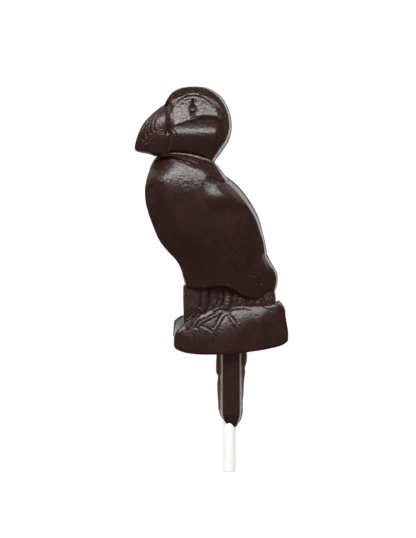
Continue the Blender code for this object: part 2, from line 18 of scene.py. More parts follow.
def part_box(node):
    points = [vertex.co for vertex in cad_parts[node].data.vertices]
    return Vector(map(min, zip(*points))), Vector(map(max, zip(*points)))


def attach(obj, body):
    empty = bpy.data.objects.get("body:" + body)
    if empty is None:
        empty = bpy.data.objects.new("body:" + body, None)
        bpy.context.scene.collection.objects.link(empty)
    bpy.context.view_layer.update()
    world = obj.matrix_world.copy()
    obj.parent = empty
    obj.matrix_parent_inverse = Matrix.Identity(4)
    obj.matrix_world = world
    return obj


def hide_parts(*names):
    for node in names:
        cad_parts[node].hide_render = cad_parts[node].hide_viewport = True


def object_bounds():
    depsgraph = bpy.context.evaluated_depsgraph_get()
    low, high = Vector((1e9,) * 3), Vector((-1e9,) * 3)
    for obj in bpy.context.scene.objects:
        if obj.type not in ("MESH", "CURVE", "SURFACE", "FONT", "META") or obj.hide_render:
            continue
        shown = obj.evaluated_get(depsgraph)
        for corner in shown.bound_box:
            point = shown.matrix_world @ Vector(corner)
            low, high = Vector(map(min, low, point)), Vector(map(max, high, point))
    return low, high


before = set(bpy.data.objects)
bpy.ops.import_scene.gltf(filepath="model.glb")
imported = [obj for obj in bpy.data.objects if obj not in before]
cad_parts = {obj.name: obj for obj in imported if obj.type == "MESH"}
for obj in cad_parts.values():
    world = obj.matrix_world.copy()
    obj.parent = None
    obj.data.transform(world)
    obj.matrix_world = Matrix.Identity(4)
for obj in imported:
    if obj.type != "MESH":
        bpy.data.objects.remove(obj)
CAD_LOW, CAD_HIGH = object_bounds()

MM = 0.001

# Stick: rolled paper, 11/64 inch thick and 3 inches long
STICK_RADIUS = 2.18
STICK_LENGTH = 76.0
STICK_X = 5.8
STICK_END_Y = -64.1
STICK_AXIS_Z = 3.1
BORE_LOOSE, BORE_PAST, BORE_SIDES = 0.02, 0.4, 96
stick_low, stick_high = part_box("paper_stick")
ORIGIN = Vector(((stick_low.x + stick_high.x) / 2 - STICK_X * MM, stick_low.y - STICK_END_Y * MM, 0))

# Mesh of the relief: the step between points, how near they merge, and how clear of lines the grid stays
STEP, MERGE, GRID_CLEAR = 0.25, 0.02, 0.6
CURVE_PARTS = 24
FLANK_SHARES = (-1.0, -0.55, 0.55, 1.0)

# Heights: the cast's edge, the blend at creases, and where drawn lines and grain begin
EDGE_HIGH, BLEND = 0.05, 0.35
LINED_ABOVE, GRAINED_ABOVE = 2, 0.2

# Edges with a larger angle than this stay sharp, on the cast and on the stick
SHARP_ANGLE, STICK_SHARP = 50, 50

# Which faces of the cast are its walls, its back and the flash
WALL_NORMAL, WALL_LOW = 0.42, 2.0
BACK_NORMAL = -0.9
FLASH_TOP_Y, FLASH_SLACK = -23.4, 0.1
RELIEF_SLOT, WALL_SLOT, BACK_SLOT, FLASH_SLOT = range(4)

# Where a wall of the cast is nearly upright, its foot stands this far outside its rim
THIN = 0.12


def smooth_line(points, step=STEP):
    """Evenly spaced points along a smooth open curve through the given ones."""
    p = np.array(points, float)
    if len(p) == 2:
        slope = np.array([p[1] - p[0], p[1] - p[0]])
        chord = np.ones(1)
    else:
        chord = np.sqrt(np.linalg.norm(np.diff(p, axis=0), axis=1))
        pace = np.diff(p, axis=0) / chord[:, None]
        before, after = chord[:-1, None], chord[1:, None]
        inner = (pace[:-1] * after + pace[1:] * before) / (before + after)
        slope = np.vstack([2 * pace[0] - inner[0], inner, 2 * pace[-1] - inner[-1]])
    t = np.linspace(0, 1, CURVE_PARTS, endpoint=False)[:, None]
    dense = []
    for k in range(len(p) - 1):
        dense.append(
            (2 * t**3 - 3 * t**2 + 1) * p[k]
            + (t**3 - 2 * t**2 + t) * slope[k] * chord[k]
            + (3 * t**2 - 2 * t**3) * p[k + 1]
            + (t**3 - t**2) * slope[k + 1] * chord[k]
        )
    dense = np.vstack(dense + [p[-1:]])
    run = np.concatenate([[0], np.cumsum(np.linalg.norm(np.diff(dense, axis=0), axis=1))])
    count = max(2, math.ceil(run[-1] / step) + 1)
    at = np.linspace(0, run[-1], count)
    return np.column_stack([np.interp(at, run, dense[:, k]) for k in (0, 1)])


def arc(centre, radius, start, end, step=STEP):
    """Points along a circle's arc, from one angle in degrees to another."""
    count = max(3, math.ceil(abs(math.radians(end - start)) * radius / step) + 1)
    angles = np.radians(np.linspace(start, end, count))
    return np.array(centre) + radius * np.column_stack([np.cos(angles), np.sin(angles)])


def closed(ring):
    """The ring with its first point again at the end."""
    return np.vstack([ring, ring[:1]])


def distance(points, line):
    """How far each point is from a run of points joined by straight lines."""
    best = np.full(len(points), np.inf)
    for a, b in zip(line[:-1], line[1:]):
        along = b - a
        t = np.clip((points - a) @ along / max(along @ along, 1e-12), 0, 1)
        best = np.minimum(best, ((points - a - t[:, None] * along) ** 2).sum(1))
    return np.sqrt(best)


def inside(points, ring):
    """Whether each point is inside a closed outline."""
    odd = np.zeros(len(points), bool)
    x, y = points[:, 0], points[:, 1]
    for (ax, ay), (bx, by) in zip(ring, np.roll(ring, -1, axis=0)):
        if ay != by:
            odd ^= ((ay > y) != (by > y)) & (x < (bx - ax) * (y - ay) / (by - ay) + ax)
    return odd


def grown(ring, out):
    """The outline moved outwards by the given amount at each of its points."""
    along = np.roll(ring, -1, axis=0) - np.roll(ring, 1, axis=0)
    normal = np.column_stack([along[:, 1], -along[:, 0]])
    normal /= np.linalg.norm(normal, axis=1)[:, None]
    return ring + normal * out[:, None]


def soft_table(pairs):
    """A function that runs smoothly through a few (position, value) pairs in rising order."""
    curve = smooth_line(pairs, 0.25)
    return lambda x: np.interp(x, curve[:, 0], curve[:, 1])


def eased(share):
    """The share, kept between nothing and one, with a soft start and end."""
    share = np.clip(share, 0, 1)
    return share**2 * (3 - 2 * share)


def level(value):
    """A crown that is the same everywhere."""
    return lambda p: np.full(len(p), float(value))


class Cushion:
    """One bulging area of the cast.

    Its rim is made of smooth stretches that meet at corners, counter-clockwise. Each stretch is
    (points, wall, width, out): the wall rises from the foot to that height at the rim, and rounds over
    within that width to the crown. A wall below zero ends that far under the crown instead. Out is how far
    the foot stands outside the rim, at even spaces along the stretch.
    """

    def __init__(self, stretches, crown):
        lines = [smooth_line(points) for points, _, _, _ in stretches]
        spreads = [np.interp(np.linspace(0, 1, len(line)), np.linspace(0, 1, len(out)), out)
                   for line, (_, _, _, out) in zip(lines, stretches)]
        self.rim = np.vstack([line[:-1] for line in lines])
        self.foot = grown(self.rim, np.concatenate([spread[:-1] for spread in spreads]))
        self.edges = [(line, wall, width) for line, (_, wall, width, _) in zip(lines, stretches)]
        self.crown = crown

    def height(self, points):
        """Height at each point, and minus one outside the foot."""
        z = np.full(len(points), -1.0)
        low, high = self.foot.min(0), self.foot.max(0)
        near = np.flatnonzero(((points >= low) & (points <= high)).all(1))
        near = near[inside(points[near], self.foot)]
        p = points[near]
        crown = self.crown(p)
        rounded, nearest = crown.copy(), np.full(len(p), np.inf)
        wall_here = crown.copy()
        for line, wall, width in self.edges:
            away = distance(p, line)
            top = np.minimum(wall, crown) if wall > 0 else crown + wall
            u = np.clip(away / width, 0, 1)
            rounded = np.minimum(rounded, top + (crown - top) * u * (2 - u))
            closer = away < nearest
            wall_here = np.where(closer, top, wall_here)
            nearest = np.minimum(nearest, away)
        to_foot = distance(p, closed(self.foot))
        share = to_foot / np.maximum(nearest + to_foot, 1e-9)
        on_top = inside(p, self.rim) | (nearest < 1e-6)
        z[near] = np.where(on_top, rounded, wall_here * share)
        return z


# Head: a leaning flat face under a narrow brow, and a full cheek below the crease under the eye
HEAD_STRETCHES = [
    ([(-0.2, 38.9), (2.3, 42.8), (4.8, 46.6), (5.8, 50.8)], -0.15, 0.5, (0.7, 0.95, 0.95, 0.9)),
    ([(5.8, 50.8), (5.3, 54.8), (3.7, 58.6), (0.9, 61.8), (-2.6, 63.7), (-6.8, 64.1), (-10.4, 63.6),
      (-13.1, 62.2), (-15.0, 59.7), (-15.6, 58.4)], -0.1, 0.35, (0.9, 1.0, 1.1, 0.7, THIN, THIN, THIN)),
    ([(-15.6, 58.4), (-14.1, 56.6), (-13.8, 52.0), (-13.9, 46.0), (-15.7, 42.1)], -0.75, 1.8, (THIN, THIN)),
    ([(-15.7, 42.1), (-12.5, 42.35), (-7.8, 41.95), (-2.8, 40.7), (-0.2, 38.9)], -0.4, 0.9, (THIN, 0.6)),
]
FACE_SLOPE = soft_table([(50.0, 11.4), (52.5, 10.35), (55.5, 9.1), (58.3, 8.1), (61.2, 7.38), (62.0, 7.25),
                         (65.0, 7.1)])
FACE_LEAN, FACE_LEVEL_X = 0.13, -3.0
CHEEK_ROLL = soft_table([(38.0, 8.6), (41.5, 9.2), (44.0, 9.95), (46.0, 10.4), (47.2, 10.52), (48.1, 10.44),
                         (48.7, 10.3), (49.4, 10.02), (50.0, 9.82), (51.2, 9.6), (54.5, 9.4)])
HEAD_RIM = soft_table([(38.0, 8.2), (42.0, 8.5), (47.0, 8.6), (52.0, 8.2), (57.0, 7.8), (62.0, 7.45),
                       (65.0, 7.3)])
HEAD_ROLL_OFF = 2.6
CHEEK_NARROW, CHEEK_ROLL_OFF = 1.0, 3.8
CREASE_LINE = soft_table([(-16.0, 51.3), (-12.0, 51.9), (-7.5, 53.1), (-2.5, 54.2), (0.0, 54.1),
                          (4.5, 53.1), (7.0, 52.6)])
CREASE_WIDTH = 1.3

# Face: the brow's arc above the eye, a mark over the round eye and a short bar under it
FACE_CENTRE, FACE_RADIUS = (-6.2, 53.4), 7.9
EYE, EYE_RADIUS, EYE_HIGH = (-6.4, 56.3), 1.0, 0.4
EYE_RING_RADIUS = 1.35
EYE_MARK = [(-6.4, 59.4), (-6.4, 57.9)]
EYE_BAR = [(-6.9, 54.7), (-5.9, 54.7)]

# Bill: deep and curved, highest along the mouth
BILL_STRETCHES = [
    ([(-13.0, 60.4), (-15.7, 58.3), (-17.6, 57.0), (-20.6, 54.3), (-22.8, 51.7), (-24.2, 49.0),
      (-25.1, 46.4), (-25.6, 44.4), (-25.6, 43.2)], -0.15, 0.5, (THIN, THIN)),
    ([(-25.6, 43.2), (-24.8, 42.75), (-23.4, 42.4), (-21.2, 42.0), (-19.3, 41.3)], -0.3, 0.8, (THIN, THIN)),
    ([(-19.3, 41.3), (-15.5, 41.5), (-12.0, 43.4)], 7.0, 0.8, (THIN, THIN)),
    ([(-12.0, 43.4), (-11.5, 52.0), (-13.0, 60.4)], 7.5, 0.5, (THIN, THIN)),
]
MOUTH_START, MOUTH_SLOPE = (-15.2, 47.8), 0.35
BILL_BACK_HIGH, BILL_TIP_CURVE = 8.9, 0.016
BILL_ABOVE_CURVE, BILL_STEEP_AT = 0.0040, 8.4
BILL_BELOW_SLOPE, BILL_CREST_SOFT = 0.28, 1.4

# Neck: the collar between the head and the chest
NECK_STRETCHES = [
    ([(0.4, 39.1), (-1.7, 40.1), (-4.9, 41.2), (-8.9, 41.95), (-12.9, 42.3), (-15.3, 42.3), (-17.7, 40.3)],
     8.45, 0.6, (THIN, THIN)),
    ([(-17.7, 40.3), (-13.4, 40.4), (-9.2, 38.9), (-6.8, 37.7), (-3.6, 36.4), (-2.1, 35.2), (-0.6, 32.9)],
     7.4, 0.5, (THIN, THIN)),
    ([(-0.6, 32.9), (2.2, 32.3), (4.6, 32.4)], 7.4, 0.5, (THIN, 1.0)),
    ([(4.6, 32.4), (2.3, 36.1), (0.4, 39.1)], -0.3, 0.8, (2.0, 1.1, 1.0, 0.8, 0.3)),
]
NECK_CROWN = soft_table([(32.0, 9.3), (36.0, 9.05), (39.0, 8.85), (42.5, 8.65)])
NECK_FALL_X, NECK_FALL = -12.5, 0.25

# Body: one deep dome for chest, belly and folded wing, with a hem over the legs and a tail beyond it
BODY_STRETCHES = [
    ([(-0.2, 33.3), (-1.7, 35.7), (-3.3, 36.9), (-6.5, 38.1), (-8.9, 39.3), (-13.3, 40.8)],
     -0.4, 1.4, (THIN, THIN)),
    ([(-13.3, 40.8), (-16.2, 41.1), (-18.4, 40.2)], -0.4, 1.5, (THIN, 0.7)),
    ([(-18.4, 40.2), (-20.0, 38.0), (-21.1, 35.3), (-21.8, 32.8), (-22.2, 30.4)],
     -2.4, 7.5, (0.7, THIN, THIN)),
    ([(-22.2, 30.4), (-22.2, 27.7), (-21.9, 25.1), (-21.2, 22.4), (-20.3, 19.7), (-19.3, 17.1),
      (-18.2, 14.4), (-16.6, 11.7), (-14.4, 9.1), (-11.9, 6.4), (-10.3, 3.7), (-9.4, 1.1), (-8.7, -1.2),
      (-8.4, -2.4)], 7.3, 8.0, (THIN, THIN, THIN, THIN, THIN, 0.5)),
    ([(-8.4, -2.4), (-3.8, -2.9), (-0.8, -3.0), (3.1, -2.7), (5.3, -3.0), (7.6, -4.0), (9.1, -5.1),
      (11.4, -5.9), (14.4, -6.1), (17.0, -5.6), (17.8, -4.1), (20.8, -3.3)], 7.4, 0.7, (THIN, THIN)),
    ([(20.8, -3.3), (21.4, -1.2), (21.4, 0.9), (20.8, 2.6), (18.9, 5.1), (17.6, 7.9)],
     6.4, 2.6, (0.6, 0.6, 0.8, 1.15, 1.1)),
    ([(17.6, 7.9), (17.2, 11.8), (16.0, 15.8), (14.7, 19.6), (12.6, 23.3)],
     7.6, 7.0, (0.95, 0.75, 1.0, 1.3, 1.65)),
    ([(12.6, 23.3), (9.9, 27.0), (6.8, 30.4), (4.5, 32.2)], -1.5, 4.5, (1.65, 1.85, 2.0, 2.0)),
    ([(4.5, 32.2), (2.2, 32.9), (-0.2, 33.3)], 8.6, 2.0, (1.0, THIN)),
]
CHEST_Y, CHEST_HIGH, CHEST_CURVE, CHEST_REACH = 26.0, 12.4, 26.0, 0.95
BELLY = soft_table([(-8.0, 7.6), (-3.0, 8.5), (2.0, 9.5), (7.0, 10.5), (12.0, 11.4), (17.0, 12.0),
                    (22.0, 12.3), (26.0, CHEST_HIGH)])
BODY_MIDDLE = soft_table([(-6.0, 6.0), (5.0, 4.0), (15.0, -2.0), (26.0, -6.0), (36.0, -8.3), (42.0, -9.0)])
BODY_ACROSS = 50.0
CORNER_X, CORNER_BENT, CORNER_FALL = -10.0, 4.5, 0.021
CORNER_Y, CORNER_LONG = 33.0, 6.0
SHOULDER, SHOULDER_RADII, SHOULDER_HIGH = (3.3, 26.8), (7.0, 5.2), 1.05
SHOULDER_VALLEY = [(-1.0, 33.0), (-2.5, 30.8), (-3.0, 28.0), (-2.4, 25.5)]
WING_EDGE = [(-1.2, 14.0), (3.0, 9.4), (6.2, 5.2), (9.0, 1.4)]

# Legs: a sunk panel between the body and the rock, with a leg standing out of it above each foot
LEGS_STRETCHES = [
    ([(-9.3, -2.3), (-9.3, -16.2)], -0.2, 0.5, (0.3, 0.4, 0.25, 0.15, THIN)),
    ([(-9.3, -16.2), (20.9, -12.0)], -0.2, 0.6, (THIN, THIN)),
    ([(20.9, -12.0), (21.1, -6.9), (20.6, -2.9), (20.1, 0.5)], -0.4, 0.6, (0.4, 0.4)),
    ([(20.1, 0.5), (-5.0, 0.5), (-9.3, -2.3)], -0.2, 0.6, (THIN, THIN)),
]
LEGS_HIGH, LEGS_LEVEL_Y, LEGS_SLOPE = 7.0, -10.0, 0.155
LEG_LINES = [[(-2.4, -2.9), (-2.4, -6.5), (-2.7, -10.2)], [(5.3, -2.9), (5.3, -7.0), (5.0, -9.6)]]
LEG_HALF, LEG_RISE = 1.6, 0.4

# Rock: a rounded oval block whose top slopes back to the legs
BASE_TOP_EDGE = [(22.3, -7.5), (20.4, -8.8), (16.8, -9.4), (11.5, -9.4), (7.2, -9.8), (3.2, -10.6),
                 (-1.2, -10.6), (-5.2, -12.2), (-9.0, -14.8)]
BASE_STRETCHES = [
    ([(-9.0, -14.8), (-11.0, -16.5), (-12.2, -18.2), (-12.5, -20.2), (-12.6, -21.6)],
     -0.5, 1.2, (3.0, 2.9, 1.1, 0.3, THIN)),
    ([(-12.6, -21.6), (-12.2, -22.9), (-9.6, -24.2), (-5.2, -24.9), (0.5, -25.0), (6.8, -24.8),
      (12.8, -24.1), (19.0, -23.1), (23.6, -21.8), (25.3, -20.5)], -0.4, 1.1, (THIN, THIN)),
    ([(25.3, -20.5), (25.4, -18.0), (25.0, -15.0), (24.5, -12.2), (24.1, -9.8), (22.3, -7.5)],
     -0.3, 0.8, (THIN, THIN, THIN, 0.2, 0.4, 0.5)),
    (BASE_TOP_EDGE, -0.1, 0.3, (0.5, 0.5, THIN, THIN, 0.5, 3.0)),
]
BASE_BACK_HIGH = 7.0
RAMP_LENGTH = soft_table([(-13.0, 3.0), (-9.0, 5.0), (-5.2, 8.0), (-1.2, 10.4), (3.0, 11.2), (6.0, 10.4),
                          (8.8, 9.3), (12.8, 6.8), (17.0, 5.2), (19.0, 4.8), (21.0, 3.8), (23.0, 2.0),
                          (26.0, 0.3)])
RAMP_SLOPE, RAMP_CURVE = 0.5, 1.9
RAMP_EASE, RAMP_EASE_X, RAMP_EASE_LONG = 0.45, 16.0, 4.0

# Sleeve: the chocolate that fills the mould's channel round the stick, flat on top and blunt at its end
SLEEVE_HIGH, SLEEVE_WALL, SLEEVE_ROUND, SLEEVE_DRAFT = 6.5, 6.0, 0.4, 1.0
SLEEVE_END_Y, SLEEVE_END_SLOPE = -45.2, 0.45
SLEEVE_STRETCHES = [
    ([(3.5, -22.0), (3.5, -44.5)], SLEEVE_WALL, SLEEVE_ROUND, (SLEEVE_DRAFT, SLEEVE_DRAFT)),
    ([(3.5, -44.5), (3.9, -46.4), (4.8, -47.9), (6.6, -48.9), (7.9, -49.1), (8.5, -48.0), (9.0, -46.6),
      (9.4, -44.5)], SLEEVE_WALL, SLEEVE_ROUND, (1.0, 0.5, 0.3, 0.3, 0.5, 0.9, SLEEVE_DRAFT)),
    ([(9.4, -44.5), (9.4, -22.0)], SLEEVE_WALL, SLEEVE_ROUND, (SLEEVE_DRAFT, SLEEVE_DRAFT)),
    ([(9.4, -22.0), (3.5, -22.0)], SLEEVE_WALL, SLEEVE_ROUND, (THIN, THIN)),
]

# Flash: the thin ragged film that ran out of the mould beside the sleeve
FLASH_HIGH, FLASH_EDGE, FLASH_ROUND = 0.7, 0.3, 0.7
FLASH_LEFT = [
    ([(4.5, -23.5), (2.0, -24.0), (1.6, -26.5), (1.5, -29.5), (1.6, -31.3), (2.1, -32.3), (1.9, -35.0),
      (2.0, -38.5), (2.2, -41.5), (2.5, -44.0), (4.5, -45.0)], FLASH_EDGE, FLASH_ROUND, (THIN, THIN)),
    ([(4.5, -45.0), (4.5, -23.5)], FLASH_HIGH, FLASH_ROUND, (THIN, THIN)),
]
FLASH_RIGHT = [
    ([(8.5, -44.0), (10.2, -42.5), (10.3, -40.5), (10.5, -38.9), (10.7, -35.0), (10.8, -33.5),
      (11.1, -31.0), (11.0, -29.7), (11.5, -28.0), (11.7, -26.5), (11.6, -24.5), (11.3, -23.9),
      (8.5, -23.5)], FLASH_EDGE, FLASH_ROUND, (THIN, THIN)),
    ([(8.5, -23.5), (8.5, -44.0)], FLASH_HIGH, FLASH_ROUND, (THIN, THIN)),
]

# Grooves that follow the bill's curve, the mouth, and the seam behind the bill
BILL_GROOVES = [
    [(-18.0, 54.8), (-18.7, 53.1), (-19.0, 51.1), (-19.0, 49.4)],
    [(-19.5, 53.6), (-20.1, 52.1), (-20.3, 50.4), (-20.3, 48.4)],
    [(-20.7, 52.6), (-21.3, 50.8), (-21.5, 48.9), (-21.5, 47.4)],
    [(-21.9, 51.1), (-22.4, 49.4), (-22.7, 47.8), (-22.7, 46.2)],
]
MOUTH = [(-15.2, 47.8), (-16.8, 46.9), (-18.2, 46.2), (-19.7, 45.4), (-21.0, 44.6)]
BILL_SEAM = [(-15.0, 57.6), (-14.7, 55.0), (-14.6, 52.0), (-14.7, 48.6)]

# Toes: each foot's toes fan out from the leg over the rock's top
TOES = [
    [(-3.4, -10.6), (-6.0, -13.6), (-8.4, -16.4)],
    [(3.0, -10.7), (-0.5, -12.7), (-2.9, -13.9), (-4.8, -15.6)],
    [(4.2, -11.4), (3.0, -13.0), (2.1, -14.8), (1.3, -16.5)],
    [(5.1, -11.5), (6.5, -13.3), (7.4, -15.0)],
]
TOE_HALF, TOE_RISE = 0.75, 0.18


def drawn_lines():
    """The raised and sunk lines: (points, half width, rise)."""
    lines = [(smooth_line(groove), 0.45, -0.24) for groove in BILL_GROOVES]
    lines += [(smooth_line(leg), LEG_HALF, LEG_RISE) for leg in LEG_LINES]
    lines += [(smooth_line(toe), TOE_HALF, TOE_RISE) for toe in TOES]
    lines += [
        (smooth_line(MOUTH), 0.5, -0.12),
        (smooth_line(BILL_SEAM), 1.0, -0.5),
        (arc(FACE_CENTRE, FACE_RADIUS, 18, 155), 0.45, 0.16),
        (arc(EYE, EYE_RING_RADIUS, 0, 360, 0.7), 0.4, -0.25),
        (smooth_line(EYE_MARK, 0.6), 0.5, -0.3),
        (smooth_line(EYE_BAR, 0.6), 0.55, -0.3),
        (smooth_line(SHOULDER_VALLEY), 1.3, -0.14),
        (smooth_line(WING_EDGE), 1.3, -0.12),
    ]
    return lines


def head_crown(p):
    """The leaning face above the crease and the cheek's roll below it, which both roll off to the rim."""
    x, y = p[:, 0], p[:, 1]
    cheek = eased((CREASE_LINE(x) - y) / CREASE_WIDTH)
    lean = FACE_LEAN * np.clip(x - FACE_LEVEL_X, None, 0) * (1 - cheek)
    middle = FACE_SLOPE(y) * (1 - cheek) + CHEEK_ROLL(y) * cheek
    up = np.clip(y - FACE_CENTRE[1], 0, FACE_RADIUS)
    half = np.sqrt(FACE_RADIUS**2 - up**2) - CHEEK_NARROW * cheek
    roll_off = HEAD_ROLL_OFF + (CHEEK_ROLL_OFF - HEAD_ROLL_OFF) * cheek
    rim = eased((np.abs(x - FACE_CENTRE[0]) - half) / roll_off)
    return middle * (1 - rim) + HEAD_RIM(y) * rim + lean


def bill_crown(p):
    """The bill is highest along its mouth, and lower towards its tip."""
    along = MOUTH_START[0] - p[:, 0]
    above = p[:, 1] - (MOUTH_START[1] - MOUTH_SLOPE * along)
    below = np.sqrt(np.clip(above, None, 0) ** 2 + BILL_CREST_SOFT**2) - BILL_CREST_SOFT
    curved = np.clip(above, 0, BILL_STEEP_AT)
    straight = np.clip(above - BILL_STEEP_AT, 0, None)
    fall = BILL_ABOVE_CURVE * (curved**3 + 3 * curved**2 * straight) + BILL_BELOW_SLOPE * below
    return BILL_BACK_HIGH - BILL_TIP_CURVE * np.clip(along, 0, None) ** 2 - fall


def neck_crown(p):
    """The collar is level across, and falls where it passes under the bill."""
    return NECK_CROWN(p[:, 1]) - NECK_FALL * np.clip(NECK_FALL_X - p[:, 0], 0, None)


def body_crown(p):
    """The chest rounds over to the collar, the belly falls to the hem, and the shoulder swells."""
    x, y = p[:, 0], p[:, 1]
    rise = np.clip(y - CHEST_Y, 0, CHEST_REACH * CHEST_CURVE)
    z = np.where(rise > 0, CHEST_HIGH - CHEST_CURVE + np.sqrt(CHEST_CURVE**2 - rise**2), BELLY(y))
    z -= (x - BODY_MIDDLE(y)) ** 2 / (2 * BODY_ACROSS)
    left = np.clip(CORNER_X - x, 0, None)
    bent = np.minimum(left, CORNER_BENT)
    z -= CORNER_FALL * bent * (2 * left - bent) * eased((y - CORNER_Y) / CORNER_LONG)
    away = np.linalg.norm((p - SHOULDER) / SHOULDER_RADII, axis=1)
    return z + SHOULDER_HIGH * np.clip(1 - away**2, 0, 1) ** 2


def legs_crown(p):
    """The panel behind the legs sinks a little towards the hem."""
    return LEGS_HIGH - LEGS_SLOPE * np.clip(p[:, 1] - LEGS_LEVEL_Y, 0, None)


def base_crown(p):
    """The rock's top ramps up away from the legs and is level in front, highest in the middle."""
    length = RAMP_LENGTH(p[:, 0])
    slope = RAMP_SLOPE * (1 - RAMP_EASE * eased((p[:, 0] - RAMP_EASE_X) / RAMP_EASE_LONG))
    left = 1 - np.clip(distance(p, smooth_line(BASE_TOP_EDGE)) / length, 0, 1)
    return BASE_BACK_HIGH + slope / RAMP_CURVE * length * (1 - left**RAMP_CURVE)


def sleeve_crown(p):
    """The sleeve is level up to its blunt end, which slopes down."""
    return SLEEVE_HIGH - SLEEVE_END_SLOPE * np.clip(SLEEVE_END_Y - p[:, 1], 0, None)


CUSHIONS = [
    Cushion(HEAD_STRETCHES, head_crown),
    Cushion(BILL_STRETCHES, bill_crown),
    Cushion(NECK_STRETCHES, neck_crown),
    Cushion(BODY_STRETCHES, body_crown),
    Cushion(LEGS_STRETCHES, legs_crown),
    Cushion(BASE_STRETCHES, base_crown),
    Cushion(SLEEVE_STRETCHES, sleeve_crown),
    Cushion(FLASH_LEFT, level(FLASH_HIGH)),
    Cushion(FLASH_RIGHT, level(FLASH_HIGH)),
]
LINES = drawn_lines()


def relief_height(points):
    """The height at each point: the highest cushion there, blended at creases, and the drawn lines."""
    z = np.full(len(points), -1.0)
    for cushion in CUSHIONS:
        other = cushion.height(points)
        both = (z > 0) & (other > 0)
        mix = np.where(both, np.clip(BLEND - np.abs(z - other), 0, None) / BLEND, 0)
        z = np.maximum(z, other) + mix**2 * BLEND / 4
    for line, half, rise in LINES:
        near = distance(points, line) / half
        z += np.where(z > LINED_ABOVE, rise * np.clip(1 - near**2, 0, 1) ** 2, 0)
    eye = np.linalg.norm(points - EYE, axis=1) / EYE_RADIUS
    return z + EYE_HIGH * np.sqrt(np.clip(1 - eye**2, 0, 1))


# Fine lines of the head: (points, half width or half widths from start to end, rise)
HEAD_LINES = [
    (arc(FACE_CENTRE, 7.35, 25, 150), 0.3, -0.07),
    (smooth_line([(-6.4, 59.8), (-6.4, 58.6), (-6.4, 57.2)]), (0.25, 1.0), -0.3),
    (smooth_line([(-7.2, 53.4), (-5.2, 53.9), (-2.5, 54.2), (0.2, 54.1), (2.5, 53.6)]), 0.28, 0.16),
    (smooth_line([(-14.9, 57.0), (-14.65, 54.6), (-14.6, 52.0), (-14.7, 49.2)]), 0.45, -0.15),
    (smooth_line([(-13.6, 49.1), (-13.0, 48.4), (-12.8, 47.5)]), 0.35, 0.35),
    (smooth_line([(-12.5, 49.4), (-11.8, 48.2), (-11.7, 46.9)]), 0.3, -0.25),
    (smooth_line([(-17.7, 55.8), (-18.4, 53.9), (-18.8, 51.8), (-18.5, 49.4)]), 0.25, 0.12),
    (smooth_line([(-18.0, 50.6), (-17.2, 49.9), (-16.0, 49.8)]), 0.22, -0.1),
    (smooth_line([(-18.0, 49.6), (-17.2, 48.9), (-16.0, 48.8)]), 0.22, -0.1),
    (smooth_line([(-18.4, 48.6), (-17.4, 48.0), (-16.0, 47.9)]), 0.22, 0.1),
    (smooth_line([(-20.5, 44.5), (-20.0, 43.3), (-19.2, 42.4)]), 0.3, 0.2),
    (smooth_line([(-15.5, 48.0), (-17.4, 46.8), (-19.4, 45.6)]), 0.33, 0.1),
]

# Fine lines of the collar: its bead under the head, and the folds below that
COLLAR_LINES = [
    (smooth_line([(-17.8, 40.5), (-16.9, 41.2), (-15.4, 41.9)]), 0.33, 0.32),
    (smooth_line([(-13.6, 41.45), (-12.1, 41.4), (-8.8, 41.1), (-5.7, 40.4), (-2.9, 39.5)]), 0.3, 0.18),
    (smooth_line([(-9.6, 39.8), (-7.2, 39.1), (-4.6, 37.9)]), 0.6, 0.12),
]

# Fine lines of the body: the line above the hem, the squiggles and dashes near the tail
BODY_LINES = [
    (smooth_line([(-8.2, -0.6), (-3.8, -0.7), (0.5, -0.6), (4.8, -0.6)]), 0.3, 0.05),
    (arc((0.1, 32.8), 0.6, 0, 360, 0.2), 0.3, -0.3),
    (smooth_line([(1.0, 33.2), (1.7, 32.4), (2.2, 31.2)]), 0.3, -0.25),
    (smooth_line([(7.6, 5.2), (9.0, 4.2), (8.0, 3.1), (8.4, 1.8), (9.2, 0.8)]), 0.35, 0.12),
    (smooth_line([(6.7, -1.0), (7.1, -2.0)]), 0.25, 0.25),
    (smooth_line([(7.9, -1.0), (8.4, -2.0)]), 0.25, 0.2),
    (smooth_line([(12.2, 1.1), (13.5, 0.8), (14.8, 0.4)]), 0.25, 0.15),
    (smooth_line([(15.3, -0.2), (15.6, -1.2), (16.6, -1.5)]), 0.25, -0.2),
]

# Fine lines of the legs: the dark lines beside each leg, and the rings on the right one
LEG_FINE = [
    (smooth_line([(-3.7, -3.2), (-3.65, -6.0), (-3.9, -9.2)]), 0.35, -0.3),
    (smooth_line([(-0.9, -3.2), (-0.8, -6.5), (-0.9, -9.3)]), 0.35, -0.35),
    (smooth_line([(3.5, -3.6), (3.95, -6.2), (3.2, -8.9)]), 0.35, -0.35),
    (smooth_line([(1.7, -3.9), (2.0, -6.2), (1.7, -8.3)]), 0.28, -0.25),
    (smooth_line([(6.9, -4.2), (6.9, -6.5), (6.5, -9.2)]), 0.3, -0.2),
]
RUNG_X, RUNG_TOP, RUNG_PITCH, RUNGS = (4.4, 6.5), -5.6, 0.6, 5
RUNG_HALF, RUNG_RISE = 0.25, -0.08

# Short feathers above the rock: each bends a little, and their tops are uneven
FEATHER_LEFT, FEATHER_RIGHT, FEATHER_PITCH = 7.9, 20.0, 0.8
FEATHER_TOP, FEATHER_FOOT = -6.3, -8.7
FEATHER_SWAY, FEATHER_SWAY_TURN = 0.25, 2.3
FEATHER_UNEVEN, FEATHER_UNEVEN_TURN = 0.5, 1.7
FEATHER_HALF, FEATHER_RISE = 0.36, 0.16

# The crease along the middle of each groove of the bill
BILL_CREASE_HALF, BILL_CREASE_RISE = (0.3, 0.15), -0.1

